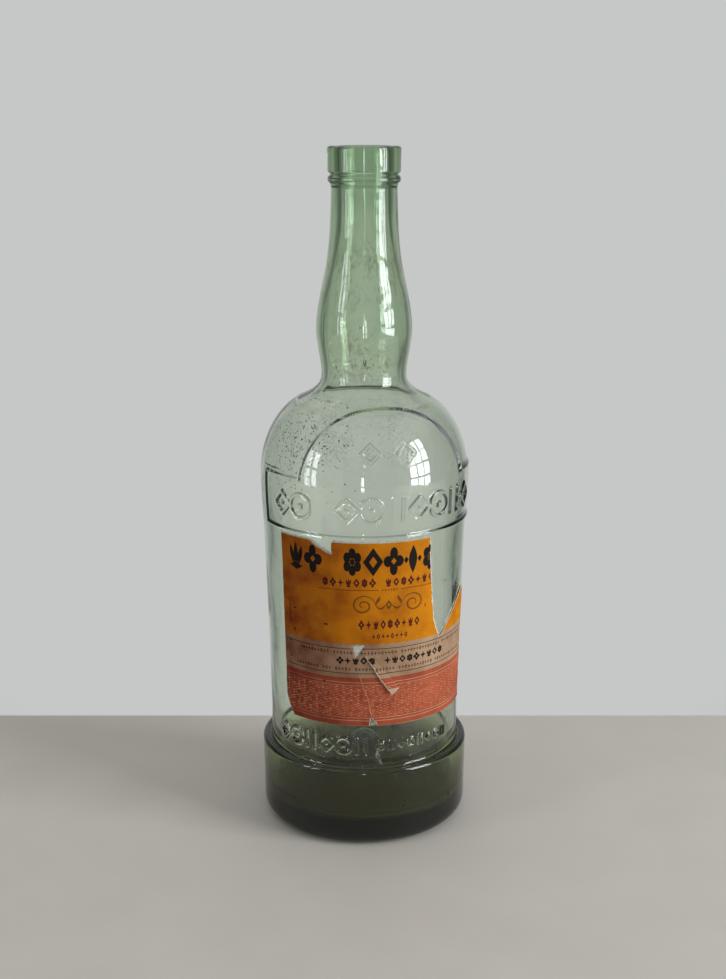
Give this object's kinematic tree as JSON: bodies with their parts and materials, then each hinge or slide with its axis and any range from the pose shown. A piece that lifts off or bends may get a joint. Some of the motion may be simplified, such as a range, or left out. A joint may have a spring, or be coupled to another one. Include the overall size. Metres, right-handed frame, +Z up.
{
  "type": "glass liqueur bottle",
  "caption": "Round-shouldered green glass bottle with an applied lip, swelled neck, moulded plaque, stepped foot band, push-up base and a torn paper label.",
  "frame": {"origin": "centre of the ring that the bottle stands on, on the plane of the surface under it", "axes": "+Z up along the bottle's axis; the front of the moulded plaque and of the label faces -Y"},
  "size_m": [0.0936, 0.0936, 0.3],
  "materials": {
    "bottle_glass": "fire-polished soda-lime glass with a pale green cast, mould-blown, with raised relief",
    "lip_glass": "thicker tooled glass of the same green, darker for its thickness",
    "paste": "dried starch paste and paper fibre, dull and uneven",
    "label_paper": "thin uncoated printing paper, orange, cream and red zones, aged and torn"
  },
  "bodies": {
    "root": {"glass_body": "bottle_glass", "applied_lip": "lip_glass", "label_paste": "paste", "label_sheet": "label_paper"}
  },
  "joints": []
}
